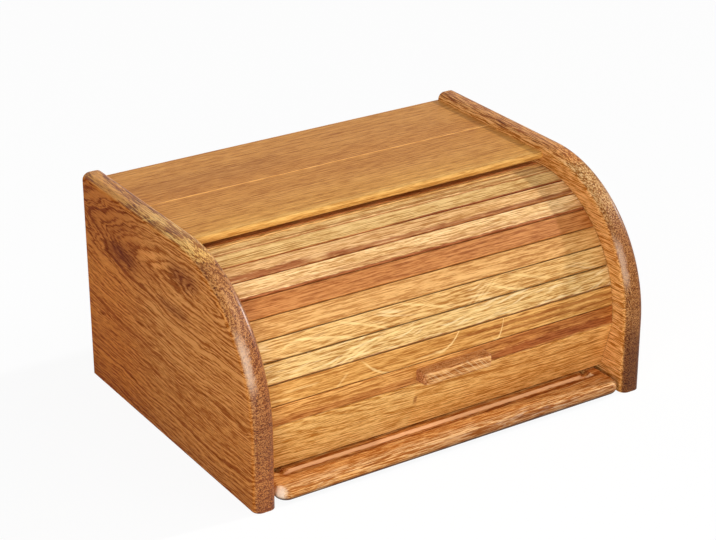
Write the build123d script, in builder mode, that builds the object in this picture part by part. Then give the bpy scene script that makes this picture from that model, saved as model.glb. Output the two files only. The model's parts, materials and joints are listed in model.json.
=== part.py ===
from build123d import *
import math
import os

# A wooden bread box with a roll-top front and a cutting board that lives under its floor.
# Millimetres. X runs from side to side, Y from the front (-) to the back (+), Z upwards.
# The origin is on the table, under the middle of the closed box with its board pushed home.

os.makedirs("parts", exist_ok=True)

# Side panels
case_width = 420.0            # outside, left face to right face
case_depth = 310.0            # front edge to back edge of a side
case_height = 207.0
side_thickness = 21.0
shoulder_radius = 135.5       # the big quarter round at the front top corner
side_edge_round = 7.0         # rounded nose along the top, the shoulder and the front
side_back_ease = 0.8          # the back edge is only lightly eased

# Top planks
top_drop = 7.4                # how far the top lies below the upper edges of the sides
top_thickness = 7.0
top_nose_round = 3.0
top_seam_gap = 0.2
top_seam_ease = 0.7
dowel_diameter = 4.0
dowel_length = 24.0
dowel_inset = 20.0            # from a plank's long edge to the nearest dowel
dowels_per_plank_end = 2

# Cutting board
board_overhang = 1.5          # its nose stands this far in front of the sides
board_thickness = 12.2
board_side_clearance = 3.0
board_corner_radius = 11.5
board_edge_round = 5.4
juice_groove_width = 9.5
juice_groove_depth = 3.0
juice_groove_front_inset = 25.75
juice_groove_end_inset = 17.0
juice_groove_corner_radius = 12.0

# Panels round the board
base_recess = 0.5             # the base sheet is held off the table by this
base_thickness = 2.0
base_front_setback = 34.0     # from the front edge of the sides
board_lift_clearance = 0.3
board_top_clearance = 0.6
floor_thickness = 6.0
floor_housing_depth = 5.0
floor_front_land = 2.0        # wood left between the floor's housing and the curtain's track
back_thickness = 6.0
rabbet_width = 9.0
panel_clearance = 0.2
stop_width = 15.0             # batten behind the board
stop_back_gap = 10.0          # free space behind the batten, so the board's depth follows the case
stop_end_setback = 38.0
stop_clearance = 0.3

# Roll-top curtain
curtain_top_clearance = 5.8   # under the top planks
slat_thickness = 8.0
slat_pitch = 19.3             # from joint to joint, on the outer corners
slat_front_gap = 0.8
slat_back_gap = 0.2
slat_edge_round = 1.1
slat_end_clearance = 0.5
curtain_tuck_angle = 20.0     # at least this much curtain stays behind the top's front edge
rail_width = 51.5
rail_board_clearance = 0.95
rail_edge_round = 1.6
canvas_thickness = 0.8
canvas_clearance = 0.1
canvas_side_margin = 18.5     # bare wood beside the canvas, at each end of the slats
canvas_rail_angle = 6.0       # how far the canvas runs on down the rail, in a shallow rebate
canvas_rear_margin_angle = 0.6

# Track in the sides
track_depth = 7.0
track_width = 5.3
track_back_offset = 0.2       # from the back of the slats out to the track's inner wall
tongue_length = 6.0
tongue_width = 14.0
tongue_clearance = 0.35
rail_tongue_margin_angle = 1.0
track_overrun_angle = 3.0
track_front_overrun_angle = 0.5

# Pull handle
handle_length = 74.0
handle_height = 12.0
handle_projection = 14.0
handle_drop = 0.7             # its middle lies this far below the middle of its slat
handle_offset = 4.0           # and this far to the right of the middle of the box
handle_end_round = 5.0
handle_edge_round = 2.4
handle_stop_angle = 0.5       # left between the open handle and the top's front edge

# Screws
handle_screw_spacing = 45.0
handle_screw_shank = 3.5
handle_screw_head = 6.6
handle_screw_length = 18.0
panel_screw_shank = 3.0
panel_screw_head = 5.6
back_screw_length = 22.0
base_screw_length = 14.0
back_screws_per_side = 4
base_screws_per_side = 4
panel_screw_end_margin = 22.0
fastener_clearance = 0.08
fastener_end_room = 1.0       # free depth past the point of a screw
screw_slot_width = 0.8
screw_slot_depth = 0.9
screw_slot_share = 0.62       # slot length over head diameter

# Places that follow from the sizes above
side_face = case_width / 2 - side_thickness
back_y = (case_depth + board_overhang) / 2
front_y = back_y - case_depth
base_rear_y = back_y - back_thickness - panel_clearance
stop_front_y = base_rear_y - stop_back_gap - stop_width
board_front_y = front_y - board_overhang
board_rear_y = stop_front_y - stop_clearance
board_half_width = side_face - board_side_clearance

base_top = base_recess + base_thickness
board_bottom = base_top + board_lift_clearance
board_top = board_bottom + board_thickness
floor_bottom = board_top + board_top_clearance
floor_top = floor_bottom + floor_thickness
top_upper = case_height - top_drop
top_lower = top_upper - top_thickness

roll_y = front_y + shoulder_radius
roll_z = case_height - shoulder_radius
curtain_radius = shoulder_radius - top_drop - top_thickness - curtain_top_clearance

# The seam lies halfway between the top's front edge, straight above the roll's axis, and the back
top_front_y = roll_y
top_seam_y = (top_front_y + back_y) / 2

# Angles on the roll are degrees up from the horizontal line that points to the front
pitch_angle = 2 * math.degrees(math.asin(slat_pitch / 2 / curtain_radius))
rail_bottom_angle = math.degrees(math.asin((board_top + rail_board_clearance - roll_z) / curtain_radius))
rail_top_angle = rail_bottom_angle + 2 * math.degrees(math.asin(rail_width / 2 / curtain_radius))
rail_angle = (rail_bottom_angle + rail_top_angle) / 2
slat_count = math.ceil((90 + curtain_tuck_angle - rail_top_angle) / pitch_angle)
curtain_rear_angle = rail_top_angle + slat_count * pitch_angle

# Distances from the roll's axis
slat_face = curtain_radius * math.cos(math.radians(pitch_angle / 2))
slat_back = slat_face - slat_thickness
rail_face = curtain_radius * math.cos(math.radians(rail_angle - rail_bottom_angle))
rail_back = rail_face - slat_thickness
canvas_outer = slat_back - canvas_clearance
canvas_inner = canvas_outer - canvas_thickness
track_inner = slat_back + track_back_offset
track_outer = track_inner + track_width
track_middle = (track_inner + track_outer) / 2
tongue_inner = track_inner + tongue_clearance
tongue_outer = track_outer - tongue_clearance
slat_end = side_face - slat_end_clearance
tongue_end = side_face + tongue_length

# The handle's upper face meets the top's front edge when the curtain is open
handle_angle = rail_top_angle + pitch_angle / 2
handle_lead = math.degrees(math.asin((handle_height / 2 - handle_drop) / (top_lower - roll_z)))
open_angle = 90 - handle_angle - handle_lead - handle_stop_angle


def roll_point(radius, angle):
    """Y and Z of a point at this distance and angle from the roll's axis."""
    turn = math.radians(angle)
    return (roll_y - radius * math.cos(turn), roll_z + radius * math.sin(turn))


def roll_plane(angle, distance=0.0):
    """Sketch plane across the curtain: x points outwards, y onwards round the roll."""
    turn = math.radians(angle)
    outwards = (0, -math.cos(turn), math.sin(turn))
    return Plane(origin=(0, *roll_point(distance, angle)), x_dir=outwards, z_dir=(-1, 0, 0))


def ring_sector(inner, outer, start, end):
    """Face of a piece of ring about the roll's axis, between two angles on the roll."""
    with BuildSketch(Plane.YZ) as sector:
        with BuildLine():
            outer_arc = CenterArc((roll_y, roll_z), outer, 180 - end, end - start)
            inner_arc = CenterArc((roll_y, roll_z), inner, 180 - end, end - start)
            Line(outer_arc @ 0, inner_arc @ 0)
            Line(outer_arc @ 1, inner_arc @ 1)
        make_face()
    return sector.sketch


def countersunk(plane, places, shank, head, length):
    """Countersunk screw shapes: heads flush with the plane, points along its normal."""
    with BuildPart() as screws:
        with BuildSketch(plane):
            with Locations(*places):
                Circle(shank / 2)
        extrude(amount=length)
        with BuildSketch(plane):
            with Locations(*places):
                Circle(head / 2)
        extrude(amount=(head - shank) / 2, taper=45)
    return screws.part


def cross_slots(plane, places, head):
    """The crossed slots in the heads of a set of screws."""
    with BuildPart() as slots:
        with BuildSketch(plane):
            with Locations(*places):
                Rectangle(head * screw_slot_share, screw_slot_width)
                Rectangle(screw_slot_width, head * screw_slot_share)
        extrude(amount=screw_slot_depth)
    return slots.part


def spread(start, end, count):
    """Evenly spaced values from start to end, both included."""
    return [start + (end - start) * step / (count - 1) for step in range(count)]


def save(part, name):
    part.label = name
    export_step(part, f"parts/{name}.step")


# Side panels: the left one is cut from the outline, and the right one is its mirror image
dowel_y = [
    y
    for low, high in ((top_front_y, top_seam_y), (top_seam_y, back_y))
    for y in spread(low + dowel_inset, high - dowel_inset, dowels_per_plank_end)
]
dowel_places = [(y, (top_lower + top_upper) / 2) for y in dowel_y]
with BuildPart() as dowel_holes:
    for face in (-side_face, side_face):
        with BuildSketch(Plane.YZ.offset(face)):
            with Locations(*dowel_places):
                Circle(dowel_diameter / 2 + fastener_clearance)
        extrude(amount=dowel_length / 2 + fastener_end_room, both=True)

screw_x = side_face + rabbet_width / 2
back_screw_plane = Plane(origin=(0, back_y, 0), x_dir=(1, 0, 0), z_dir=(0, -1, 0))
back_screw_z = (floor_top + panel_screw_end_margin, top_lower - panel_screw_end_margin)
back_screw_places = [
    (x, z) for x in (-screw_x, screw_x) for z in spread(*back_screw_z, back_screws_per_side)
]
base_front_y = front_y + base_front_setback
base_screw_plane = Plane.XY.offset(base_recess)
base_screw_y = (base_front_y + panel_screw_end_margin, base_rear_y - panel_screw_end_margin)
base_screw_places = [
    (x, y) for x in (-screw_x, screw_x) for y in spread(*base_screw_y, base_screws_per_side)
]
panel_screw_sizes = (panel_screw_shank, panel_screw_head)
panel_hole_sizes = [size + 2 * fastener_clearance for size in panel_screw_sizes]
back_screw_holes = countersunk(
    back_screw_plane, back_screw_places, *panel_hole_sizes, back_screw_length + fastener_end_room
)
base_screw_holes = countersunk(
    base_screw_plane, base_screw_places, *panel_hole_sizes, base_screw_length + fastener_end_room
)

floor_front_y = roll_y - math.sqrt(track_inner**2 - (roll_z - floor_bottom) ** 2) + floor_front_land
rabbet_floor_x = side_face + rabbet_width
track_start = rail_bottom_angle - track_front_overrun_angle
track_finish = curtain_rear_angle + open_angle + track_overrun_angle
track_line = CenterArc((roll_y, roll_z), track_middle, 180 - track_finish, track_finish - track_start)

with BuildPart() as side_panel_left:
    with BuildSketch(Plane.YZ.offset(-case_width / 2)):
        with BuildLine():
            shoulder = CenterArc((roll_y, roll_z), shoulder_radius, 90, 90)
            Polyline(shoulder @ 1, (front_y, 0), (back_y, 0), (back_y, case_height), shoulder @ 0)
        make_face()
    extrude(amount=side_thickness)
    nose_edges = side_panel_left.edges().filter_by(Axis.X, reverse=True).filter_by(
        lambda edge: edge.center().Z > side_edge_round and edge.center().Y < back_y - side_edge_round
    )
    fillet(nose_edges, side_edge_round)
    back_edges = side_panel_left.faces().sort_by(Axis.Y)[-1].edges().filter_by(
        lambda edge: edge.center().Z > 0 and edge.center().X < -side_face - side_back_ease
    )
    fillet(back_edges, side_back_ease)
    # Curved track for the curtain's tongues
    with BuildSketch(Plane.YZ.offset(-side_face)):
        SlotArc(track_line, track_width)
    extrude(amount=-track_depth, mode=Mode.SUBTRACT)
    # Housing for the floor, and rabbets for the back and the base sheet
    with BuildSketch(Plane.YZ.offset(-side_face)):
        with Locations((floor_front_y - panel_clearance, floor_bottom - panel_clearance / 2)):
            Rectangle(
                back_y - floor_front_y,
                floor_thickness + panel_clearance,
                align=(Align.MIN, Align.MIN),
            )
    extrude(amount=-floor_housing_depth, mode=Mode.SUBTRACT)
    with BuildSketch(Plane.YZ.offset(-side_face)):
        with Locations((back_y - back_thickness - panel_clearance, 0)):
            Rectangle(back_thickness + panel_clearance, top_lower, align=(Align.MIN, Align.MIN))
        with Locations((base_front_y - panel_clearance, 0)):
            Rectangle(back_y - base_front_y, base_top, align=(Align.MIN, Align.MIN))
    extrude(amount=-rabbet_width, mode=Mode.SUBTRACT)
    add(dowel_holes.part, mode=Mode.SUBTRACT)
    add(back_screw_holes, mode=Mode.SUBTRACT)
    add(base_screw_holes, mode=Mode.SUBTRACT)
save(side_panel_left.part, "side_panel_left")

with BuildPart() as side_panel_right:
    mirror(side_panel_left.part, about=Plane.YZ)
save(side_panel_right.part, "side_panel_right")

# Top: two planks on dowels between the sides, the front one with a rounded nose
with BuildPart() as top_plank_front:
    with BuildSketch(Plane.XY.offset(top_lower)):
        with Locations((0, top_front_y)):
            Rectangle(
                2 * side_face,
                top_seam_y - top_seam_gap / 2 - top_front_y,
                align=(Align.CENTER, Align.MIN),
            )
    extrude(amount=top_thickness)
    long_edges = top_plank_front.edges().filter_by(Axis.X).group_by(Axis.Y)
    fillet(long_edges[0], top_nose_round)
    long_edges = top_plank_front.edges().filter_by(Axis.X).group_by(Axis.Y)
    fillet(long_edges[-1].sort_by(Axis.Z)[-1], top_seam_ease)
    add(dowel_holes.part, mode=Mode.SUBTRACT)
save(top_plank_front.part, "top_plank_front")

with BuildPart() as top_plank_rear:
    with BuildSketch(Plane.XY.offset(top_lower)):
        with Locations((0, top_seam_y + top_seam_gap / 2)):
            Rectangle(
                2 * side_face,
                back_y - top_seam_y - top_seam_gap / 2,
                align=(Align.CENTER, Align.MIN),
            )
    extrude(amount=top_thickness)
    fillet(top_plank_rear.edges().filter_by(Axis.X).group_by(Axis.Z)[-1], top_seam_ease)
    add(dowel_holes.part, mode=Mode.SUBTRACT)
save(top_plank_rear.part, "top_plank_rear")

with BuildPart() as top_dowels:
    for face in (-side_face, side_face):
        with BuildSketch(Plane.YZ.offset(face)):
            with Locations(*dowel_places):
                Circle(dowel_diameter / 2)
        extrude(amount=dowel_length / 2, both=True)
save(top_dowels.part, "top_dowels")

# Back, floor and base
panel_half_width = rabbet_floor_x - panel_clearance
with BuildPart() as back_panel:
    with BuildSketch(Plane.XZ.offset(-back_y)):
        with Locations((0, base_recess)):
            Rectangle(
                2 * panel_half_width,
                top_lower - panel_clearance - base_recess,
                align=(Align.CENTER, Align.MIN),
            )
    extrude(amount=back_thickness)
    add(back_screw_holes, mode=Mode.SUBTRACT)
save(back_panel.part, "back_panel")

with BuildPart() as floor_panel:
    with BuildSketch(Plane.XY.offset(floor_bottom)):
        with Locations((0, floor_front_y)):
            Rectangle(
                2 * (side_face + floor_housing_depth - panel_clearance),
                base_rear_y - floor_front_y,
                align=(Align.CENTER, Align.MIN),
            )
    extrude(amount=floor_thickness)
save(floor_panel.part, "floor_panel")

with BuildPart() as base_panel:
    with BuildSketch(Plane.XY.offset(base_recess)):
        with Locations((0, base_front_y)):
            Rectangle(2 * panel_half_width, base_rear_y - base_front_y, align=(Align.CENTER, Align.MIN))
    extrude(amount=base_thickness)
    add(base_screw_holes, mode=Mode.SUBTRACT)
save(base_panel.part, "base_panel")

with BuildPart() as board_stop:
    with BuildSketch(Plane.XY.offset(base_top)):
        with Locations((0, stop_front_y)):
            Rectangle(2 * (side_face - stop_end_setback), stop_width, align=(Align.CENTER, Align.MIN))
    extrude(amount=floor_bottom - base_top)
save(board_stop.part, "board_stop")

with BuildPart() as back_screws:
    add(countersunk(back_screw_plane, back_screw_places, *panel_screw_sizes, back_screw_length))
    add(cross_slots(back_screw_plane, back_screw_places, panel_screw_head), mode=Mode.SUBTRACT)
save(back_screws.part, "back_screws")

with BuildPart() as base_screws:
    add(countersunk(base_screw_plane, base_screw_places, *panel_screw_sizes, base_screw_length))
    add(cross_slots(base_screw_plane, base_screw_places, panel_screw_head), mode=Mode.SUBTRACT)
save(base_screws.part, "base_screws")

# Cutting board with a round-bottomed juice groove
groove_cutter_radius = (juice_groove_width**2 / 4 + juice_groove_depth**2) / (2 * juice_groove_depth)
groove_x = board_half_width - juice_groove_end_inset
groove_front = board_front_y + juice_groove_front_inset
groove_rear = board_rear_y - juice_groove_end_inset
with BuildPart() as cutting_board:
    with BuildSketch(Plane.XY.offset(board_bottom)):
        with Locations((0, (board_front_y + board_rear_y) / 2)):
            RectangleRounded(2 * board_half_width, board_rear_y - board_front_y, board_corner_radius)
    extrude(amount=board_thickness)
    board_edges = cutting_board.edges().group_by(Axis.Z)
    fillet(board_edges[0] + board_edges[-1], board_edge_round)
    with BuildLine(Plane.XY.offset(board_top - juice_groove_depth + groove_cutter_radius)) as groove_path:
        FilletPolyline(
            (groove_x, groove_front),
            (groove_x, groove_rear),
            (-groove_x, groove_rear),
            (-groove_x, groove_front),
            radius=juice_groove_corner_radius,
            close=True,
        )
    with BuildSketch(Plane(origin=groove_path.line @ 0, z_dir=groove_path.line % 0)):
        Circle(groove_cutter_radius)
    sweep(path=groove_path.line, mode=Mode.SUBTRACT)
save(cutting_board.part, "cutting_board")

# Curtain slats, numbered from the bottom rail upwards; the first carries the pull handle
handle_screw_places = [(x, 0) for x in (-handle_screw_spacing / 2, handle_screw_spacing / 2)]
handle_screw_sizes = (handle_screw_shank, handle_screw_head)
handle_hole_sizes = [size + 2 * fastener_clearance for size in handle_screw_sizes]
outwards = roll_plane(handle_angle).x_dir
handle_screw_start = (handle_offset, *roll_point(slat_back, handle_angle))
handle_screw_plane = Plane(origin=handle_screw_start, x_dir=(1, 0, 0), z_dir=outwards)
handle_holes = countersunk(
    handle_screw_plane, handle_screw_places, *handle_hole_sizes, handle_screw_length + fastener_end_room
)
front_half = slat_pitch / 2 - slat_front_gap / 2
back_half = slat_back * math.tan(math.radians(pitch_angle / 2)) - slat_back_gap / 2
tongue_face = math.sqrt(tongue_outer**2 - (tongue_width / 2) ** 2)
for number in range(1, slat_count + 1):
    slat_angle = rail_top_angle + (number - 0.5) * pitch_angle
    with BuildPart() as slat:
        with BuildSketch(roll_plane(slat_angle)) as slat_outline:
            with BuildLine():
                Polyline(
                    (slat_back, -back_half),
                    (slat_face, -front_half),
                    (slat_face, front_half),
                    (slat_back, back_half),
                    close=True,
                )
            make_face()
            fillet(slat_outline.vertices().group_by(Axis.X)[-1], slat_edge_round)
        extrude(amount=slat_end, both=True)
        with BuildSketch(roll_plane(slat_angle)):
            with Locations(((tongue_inner + tongue_face) / 2, 0)):
                Rectangle(tongue_face - tongue_inner, tongue_width)
        extrude(amount=tongue_end, both=True)
        if number == 1:
            add(handle_holes, mode=Mode.SUBTRACT)
    save(slat.part, f"slat_{number:02d}")

# Pull handle, screwed on from behind its slat
handle_foot = (handle_offset, *roll_point(slat_face, handle_angle))
handle_plane = Plane(origin=handle_foot, x_dir=(1, 0, 0), z_dir=roll_plane(handle_angle).y_dir)
with BuildPart() as pull_handle:
    with BuildSketch(handle_plane.offset(-handle_drop)) as handle_plan:
        with Locations((0, -handle_projection / 2)):
            Rectangle(handle_length, handle_projection)
        fillet(handle_plan.vertices().group_by(Axis.Y)[0], handle_end_round)
    extrude(amount=handle_height / 2, both=True)
    handle_ends = pull_handle.faces().sort_by(lambda face: face.center().dot(handle_plane.z_dir))
    handle_rims = handle_ends[0].edges() + handle_ends[-1].edges()
    fillet(handle_rims.sort_by(lambda edge: edge.center().dot(outwards))[2:], handle_edge_round)
    add(handle_holes, mode=Mode.SUBTRACT)
save(pull_handle.part, "pull_handle")

with BuildPart() as handle_screws:
    add(countersunk(handle_screw_plane, handle_screw_places, *handle_screw_sizes, handle_screw_length))
    add(cross_slots(handle_screw_plane, handle_screw_places, handle_screw_head), mode=Mode.SUBTRACT)
save(handle_screws.part, "handle_screws")

# Bottom rail: a flat plank whose upper edge is bevelled to meet the first slat on the roll
rail_front_half = rail_width / 2 - slat_front_gap / 2
rail_back_half = rail_front_half - slat_thickness * math.tan(math.radians(rail_top_angle - rail_angle))
with BuildSketch(roll_plane(rail_angle)) as rail_outline:
    with BuildLine():
        Polyline(
            (rail_back, -rail_width / 2),
            (rail_face, -rail_width / 2),
            (rail_face, rail_front_half),
            (rail_back, rail_back_half),
            close=True,
        )
    make_face()
    fillet(rail_outline.vertices().group_by(Axis.X)[-1], rail_edge_round)

with BuildPart() as rail_tongues:
    extrude(rail_outline.sketch, amount=tongue_end, both=True)
    extrude(
        ring_sector(
            tongue_inner,
            tongue_outer,
            rail_bottom_angle + rail_tongue_margin_angle,
            rail_top_angle - rail_tongue_margin_angle,
        ),
        amount=tongue_end,
        both=True,
        mode=Mode.INTERSECT,
    )

canvas_start = rail_top_angle - canvas_rail_angle
with BuildPart() as bottom_rail:
    extrude(rail_outline.sketch, amount=slat_end, both=True)
    add(rail_tongues.part)
    # Rebate for the tail of the canvas
    extrude(
        ring_sector(
            rail_back - slat_thickness, slat_back, canvas_start - canvas_rear_margin_angle, rail_top_angle
        ),
        amount=side_face - canvas_side_margin + panel_clearance,
        both=True,
        mode=Mode.SUBTRACT,
    )
save(bottom_rail.part, "bottom_rail")

# Canvas glued across the backs of the slats
with BuildPart() as curtain_canvas:
    extrude(
        ring_sector(
            canvas_inner, canvas_outer, canvas_start, curtain_rear_angle - canvas_rear_margin_angle
        ),
        amount=side_face - canvas_side_margin,
        both=True,
    )
save(curtain_canvas.part, "curtain_canvas")

print(f"slats: {slat_count}, pitch {pitch_angle:.3f} deg, curtain radius {curtain_radius:.2f}")
print(f"curtain from {rail_bottom_angle:.2f} to {curtain_rear_angle:.2f} deg, opens by {open_angle:.2f} deg")
print(f"roll axis at y {roll_y:.3f}, z {roll_z:.3f}; side face x {side_face:.2f}")
print(f"board z {board_bottom:.2f} to {board_top:.2f}, y {board_front_y:.2f} to {board_rear_y:.2f}")
print(f"floor y from {floor_front_y:.2f}, z {floor_bottom:.2f} to {floor_top:.2f}")
print(f"canvas from radius {canvas_inner:.2f} to {canvas_outer:.2f}")
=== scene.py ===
# %% [markdown]
# # A roll-front bread box in oak
#
# This lesson dresses a bread box that is already built as solid CAD pieces:
# two thick sides, two top planks, a curtain of narrow slats that rolls back
# under the top, and a cutting board that slides out below it. The shapes come
# from the CAD model, so Blender's work here is the camera, the light and, most
# of all, the wood: the whole object is oiled oak, and each stick was cut from
# a different part of the tree.

# %% Load the CAD pieces
import json
import math

import bmesh
import bpy
from mathutils import Matrix, Vector


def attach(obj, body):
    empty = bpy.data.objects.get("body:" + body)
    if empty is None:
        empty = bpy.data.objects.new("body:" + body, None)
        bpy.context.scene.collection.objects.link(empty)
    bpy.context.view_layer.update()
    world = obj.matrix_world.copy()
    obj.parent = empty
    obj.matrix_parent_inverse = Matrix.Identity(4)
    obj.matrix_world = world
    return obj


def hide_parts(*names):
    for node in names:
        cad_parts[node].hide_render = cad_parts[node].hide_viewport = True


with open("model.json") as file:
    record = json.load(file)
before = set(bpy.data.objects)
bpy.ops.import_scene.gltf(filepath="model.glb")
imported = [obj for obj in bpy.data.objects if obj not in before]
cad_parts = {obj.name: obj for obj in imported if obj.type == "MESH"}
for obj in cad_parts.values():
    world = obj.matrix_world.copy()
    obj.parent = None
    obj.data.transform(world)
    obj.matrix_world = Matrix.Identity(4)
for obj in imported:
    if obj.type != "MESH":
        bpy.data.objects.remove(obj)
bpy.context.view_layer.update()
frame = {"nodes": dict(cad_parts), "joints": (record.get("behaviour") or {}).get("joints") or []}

nodes = frame["nodes"]
print("pieces in the CAD model:", len(nodes))

# %% [markdown]
# ## Where things are
#
# The curtain runs in a round groove in both sides, so each slat sits on the
# same circle, one pitch further than the one before. The axis of that circle
# is the axis the curtain rolls about. With these few numbers every slat's
# own direction is known, and the grain can follow it.

# %% Numbers of the curtain, read from the frame
MM = 0.001

roll_joint = next(j for j in frame["joints"] if j["name"] == "curtain_roll")
ROLL_AXIS = Vector(roll_joint["pos_m"])
SLAT_COUNT = 12
SLAT_PITCH = math.radians(9.602)      # from one slat to the next
FIRST_SLAT = math.radians(1.80)       # slat_01, from level with the axis
SLAT_FACE = 114.9 * MM                # from the axis to a slat's outer face
RAIL_ANGLE = math.radians(-15.9)
RAIL_FACE = 112.4 * MM


def outward(angle):
    """The direction from the roll axis to a place on the curtain."""
    return Vector((0.0, -math.cos(angle), math.sin(angle)))


def upward(angle):
    """The direction along the curtain, square to outward."""
    return Vector((0.0, math.sin(angle), math.cos(angle)))


print("roll axis in mm:", [round(1000 * v, 2) for v in ROLL_AXIS])

# %% [markdown]
# ## The camera
#
# The photograph was taken from the left and above, with a long lens, so that
# the edges stay nearly parallel. The numbers were found by setting corners of
# the CAD model against the same corners in the picture. The camera is built
# from three directions: right, up and back.

# %% Place the camera
YAW, PITCH, ROLL = (math.radians(a) for a in (-32.787, 24.816, -0.045))
CAMERA_DISTANCE = 1.9082
LENS = 103.27
AIM = Vector((-7.53, 0.90, 118.05)) * MM

back = Vector((
    math.sin(YAW) * math.cos(PITCH),
    -math.cos(YAW) * math.cos(PITCH),
    math.sin(PITCH),
))
level_right = (-back).cross(Vector((0, 0, 1))).normalized()
level_up = level_right.cross(-back)
right = math.cos(ROLL) * level_right + math.sin(ROLL) * level_up
up = math.cos(ROLL) * level_up - math.sin(ROLL) * level_right


def put_in_scene(name, data):
    """Makes an object of some data and puts it in the scene."""
    made = bpy.data.objects.new(name, data)
    bpy.context.scene.collection.objects.link(made)
    return made


camera_data = bpy.data.cameras.new("photo_camera")
camera_data.sensor_width = 36.0
camera_data.lens = LENS
camera_data.clip_start, camera_data.clip_end = 0.05, 60.0
camera = put_in_scene("photo_camera", camera_data)
camera.matrix_world = (
    Matrix.Translation(AIM + back * CAMERA_DISTANCE)
    @ Matrix((right, up, back)).transposed().to_4x4()
)
bpy.context.scene.camera = camera
print("camera at", [round(v, 3) for v in camera.location])

# %% [markdown]
# ## Short ways to write nodes
#
# A wood material is a long chain of small sums. Written out node by node it
# would fill pages, so a few helpers keep it readable: one adds a node and
# feeds its sockets, some are sums, and one makes a group with named sockets.

# %% Node helpers
def paint(code):
    """A colour written as on a screen, such as c98f4e, as the light values shaders use."""
    def light(part):
        value = int(part, 16) / 255
        return value / 12.92 if value <= 0.04045 else ((value + 0.055) / 1.055) ** 2.4
    return (light(code[0:2]), light(code[2:4]), light(code[4:6]), 1.0)


def feed(tree, target, value):
    """Feeds a socket with another node's output or with a plain value."""
    if isinstance(value, bpy.types.NodeSocket):
        tree.links.new(value, target)
    else:
        target.default_value = value


def add(tree, kind, feeds=None, **settings):
    """Adds one node. feeds gives its sockets: a number, a colour or another node's output."""
    made = tree.nodes.new("ShaderNode" + kind)
    for name, value in settings.items():
        setattr(made, name, value)
    for socket, value in (feeds or {}).items():
        feed(tree, made.inputs[socket], value)
    return made


def sum_of(tree, operation, a, b=0.0, clamp=False):
    """One step of arithmetic on two numbers."""
    return add(tree, "Math", {0: a, 1: b}, operation=operation, use_clamp=clamp).outputs[0]


def vector_sum(tree, operation, a, b=(0, 0, 0)):
    """One step of arithmetic on two vectors."""
    made = add(tree, "VectorMath", {0: a, 1: b}, operation=operation)
    return made.outputs["Value" if operation in ("LENGTH", "DOT_PRODUCT") else "Vector"]


def scaled(tree, vector, size):
    """A vector made longer or shorter."""
    return add(tree, "VectorMath", {0: vector, "Scale": size}, operation="SCALE").outputs[0]


def ease(tree, value, start, end, low=0.0, high=1.0):
    """A soft step: low before start, high after end."""
    return add(
        tree, "MapRange",
        {"Value": value, "From Min": start, "From Max": end, "To Min": low, "To Max": high},
        interpolation_type="SMOOTHSTEP",
    ).outputs["Result"]


def noise(tree, place, seed, detail=2.0, roughness=0.5):
    """Smooth noise that fills space, with one cell for each unit of place."""
    return add(
        tree, "TexNoise",
        {"Vector": place, "W": seed, "Scale": 1.0, "Detail": detail, "Roughness": roughness},
        noise_dimensions="4D",
    )


def mix(tree, share, a, b, blend="MIX"):
    """Colour a turning into colour b by the share, from 0 to 1."""
    made = tree.nodes.new("ShaderNodeMix")
    made.data_type, made.blend_type = "RGBA", blend
    for socket, value in ((0, share), (6, a), (7, b)):
        feed(tree, made.inputs[socket], value)
    return made.outputs[2]


def grain_noise(tree, take, cells, shift=0.0, **kind):
    """Noise drawn out along the grain: cells says how many lie in a millimetre each way."""
    seed = sum_of(tree, "ADD", take["Seed"], shift) if shift else take["Seed"]
    return noise(tree, vector_sum(tree, "MULTIPLY", take["Place"], cells), seed, **kind)


def swinging(tree, source, size):
    """A noise made to swing both ways, so that it adds nothing on average."""
    return sum_of(tree, "MULTIPLY", sum_of(tree, "SUBTRACT", source.outputs["Fac"], 0.5), size)


def tinted(tree, colour, tint):
    """A colour multiplied by a tint."""
    return mix(tree, 1.0, colour, tint, "MULTIPLY")


def new_material(name):
    """A material with its tree and its shader."""
    made = bpy.data.materials.new(name)
    made.use_nodes = True
    return made, made.node_tree, made.node_tree.nodes["Principled BSDF"]


def new_group(name, takes, gives):
    """A shader node group with named inputs and outputs."""
    kinds = {"number": "NodeSocketFloat", "vector": "NodeSocketVector",
             "colour": "NodeSocketColor"}
    tree = bpy.data.node_groups.new(name, "ShaderNodeTree")
    for label, kind, value in takes:
        socket = tree.interface.new_socket(label, in_out="INPUT", socket_type=kinds[kind])
        socket.default_value = value
    for label, kind in gives:
        tree.interface.new_socket(label, in_out="OUTPUT", socket_type=kinds[kind])
    ends = tree.nodes.new("NodeGroupInput"), tree.nodes.new("NodeGroupOutput")
    return tree, ends[0].outputs, ends[1].inputs


def place(tree, group, feeds):
    """Puts a group into a tree, feeds it and gives its outputs."""
    made = tree.nodes.new("ShaderNodeGroup")
    made.node_tree = group
    for socket, value in feeds.items():
        feed(tree, made.inputs[socket], value)
    return made.outputs


print("node helpers ready")

# %% [markdown]
# ## Growth rings
#
# A plank is a flat cut through a tree of nested rings. If the middle of the
# tree runs at a slant to the cut, the rings show as long nested arches. If it
# lies far off to one side, they show as straight lines. So the group measures
# how far each point is from the tree's middle, wanders a little as real rings
# do, and cuts that distance into rings of uneven width. Places are in
# millimetres, with x along the grain, y across the face and z out of it.

# %% Group: growth rings
RING_RISE, RING_FALL = (0.0, 0.12), (0.18, 0.50)    # the dark line, as shares of a ring
PALE_RISE, PALE_FALL = (0.48, 0.62), (0.76, 0.96)   # the pale line that follows it
PALE_DEPTH = 0.6
RING_FRAY = 2.0              # mm
YEAR_CHANGE, YEAR_SPREAD = 0.37, 2.4
FAINTEST_YEAR = 0.25

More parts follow.
